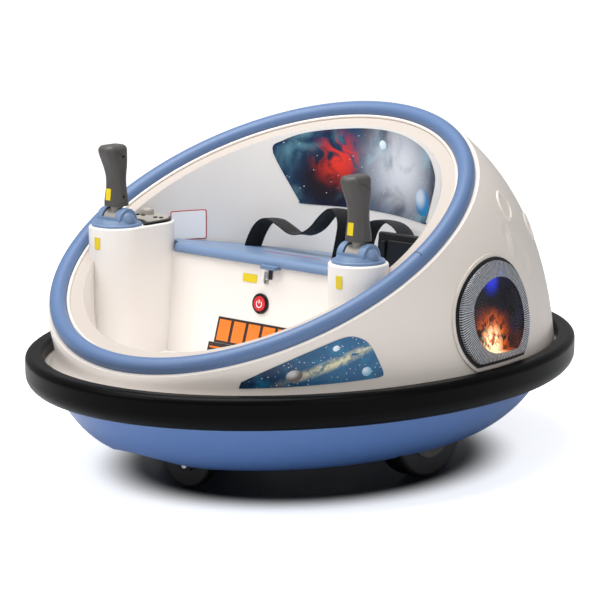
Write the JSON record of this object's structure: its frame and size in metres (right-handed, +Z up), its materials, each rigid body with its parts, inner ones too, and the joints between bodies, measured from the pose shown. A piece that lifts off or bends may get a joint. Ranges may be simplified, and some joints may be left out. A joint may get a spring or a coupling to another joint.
{
  "type": "ride-on bumper car",
  "caption": "Child's battery bumper car: oval hull with a soft bumper ring, open cockpit with bench seat, hand levers, drive wheels and swivelling casters.",
  "frame": {"origin": "on the floor under the middle of the bumper ring", "axes": "+Z up, front of the car towards -Y, the driver's left towards +X"},
  "size_m": [0.7399, 0.8999, 0.5076],
  "materials": {
    "blue_plastic": "semi-gloss moulded plastic",
    "white_plastic": "glossy moulded plastic",
    "blue_foam": "soft foam tube",
    "black_rubber": "soft satin rubber",
    "black_plastic": "satin moulded plastic",
    "grey_plastic": "satin moulded plastic",
    "black_webbing": "woven webbing",
    "steel": "plain",
    "red_plastic": "glossy",
    "wheel_plastic": "blow-moulded wheel",
    "clear_lens": "clear moulded lens"
  },
  "bodies": {
    "chassis": {"lower_hull": "blue_plastic", "bumper_ring": "black_rubber", "upper_shell": "white_plastic", "cockpit_tub": "white_plastic", "rim_trim_front": "blue_foam", "rim_trim_rear": "blue_foam", "seat_latch": "steel", "power_bezel": "black_plastic", "power_button": "red_plastic", "control_panel": "black_plastic", "panel_face": "grey_plastic", "panel_keys": "black_plastic", "panel_knob": "grey_plastic", "battery": "black_plastic", "lever_base_left": "blue_plastic", "lamp_gasket_left": "black_rubber", "lamp_lens_left": "clear_lens", "lamp_bowl_left": "black_plastic", "gearbox_left": "black_plastic", "drive_axle_left": "steel", "lever_base_right": "blue_plastic", "lamp_gasket_right": "black_rubber", "lamp_lens_right": "clear_lens", "lamp_bowl_right": "black_plastic", "gearbox_right": "black_plastic", "drive_axle_right": "steel", "caster_plate_front": "steel", "caster_plate_rear": "steel"},
    "seat": {"seat_panel": "blue_plastic", "belt_web_left": "black_webbing", "belt_web_right": "black_webbing", "belt_buckle": "grey_plastic"},
    "lever_left": {"lever_stem_left": "black_plastic", "lever_grip_left": "grey_plastic"},
    "lever_right": {"lever_stem_right": "black_plastic", "lever_grip_right": "grey_plastic"},
    "wheel_left": {"drive_wheel_left": "wheel_plastic", "hub_cap_left": "grey_plastic"},
    "wheel_right": {"drive_wheel_right": "wheel_plastic", "hub_cap_right": "grey_plastic"},
    "caster_front": {"caster_fork_front": "black_plastic", "caster_axle_front": "steel"},
    "caster_roller_front": {"caster_wheel_front": "wheel_plastic"},
    "caster_rear": {"caster_fork_rear": "black_plastic", "caster_axle_rear": "steel"},
    "caster_roller_rear": {"caster_wheel_rear": "wheel_plastic"}
  },
  "joints": [
    {"name": "seat_lift", "type": "slide", "parent": "chassis", "child": "seat", "axis": [0, 0, 1], "range_m": [0, 0.12]},
    {"name": "lever_left_pivot", "type": "hinge", "parent": "chassis", "child": "lever_left", "pos_m": [0.2375, -0.15657, 0.343], "axis": [1, 0, 0], "range_deg": [-15, 15], "stiffness_Nm_per_rad": 0.6},
    {"name": "lever_right_pivot", "type": "hinge", "parent": "chassis", "child": "lever_right", "pos_m": [-0.2375, -0.15657, 0.343], "axis": [1, 0, 0], "range_deg": [-15, 15], "stiffness_Nm_per_rad": 0.6},
    {"name": "wheel_left_spin", "type": "hinge", "parent": "chassis", "child": "wheel_left", "pos_m": [0.222, 0, 0.075], "axis": [1, 0, 0], "continuous": true},
    {"name": "wheel_right_spin", "type": "hinge", "parent": "chassis", "child": "wheel_right", "pos_m": [-0.222, 0, 0.075], "axis": [1, 0, 0], "continuous": true},
    {"name": "caster_front_swivel", "type": "hinge", "parent": "chassis", "child": "caster_front", "pos_m": [0, -0.273, 0.1], "axis": [0, 0, 1], "continuous": true},
    {"name": "caster_front_roll", "type": "hinge", "parent": "caster_front", "child": "caster_roller_front", "pos_m": [0.02125, -0.26731, 0.035], "axis": [0.2588, -0.9659, 0], "continuous": true},
    {"name": "caster_rear_swivel", "type": "hinge", "parent": "chassis", "child": "caster_rear", "pos_m": [0, 0.273, 0.1], "axis": [0, 0, 1], "continuous": true},
    {"name": "caster_rear_roll", "type": "hinge", "parent": "caster_rear", "child": "caster_roller_rear", "pos_m": [0, 0.295, 0.035], "axis": [1, 0, 0], "continuous": true}
  ]
}
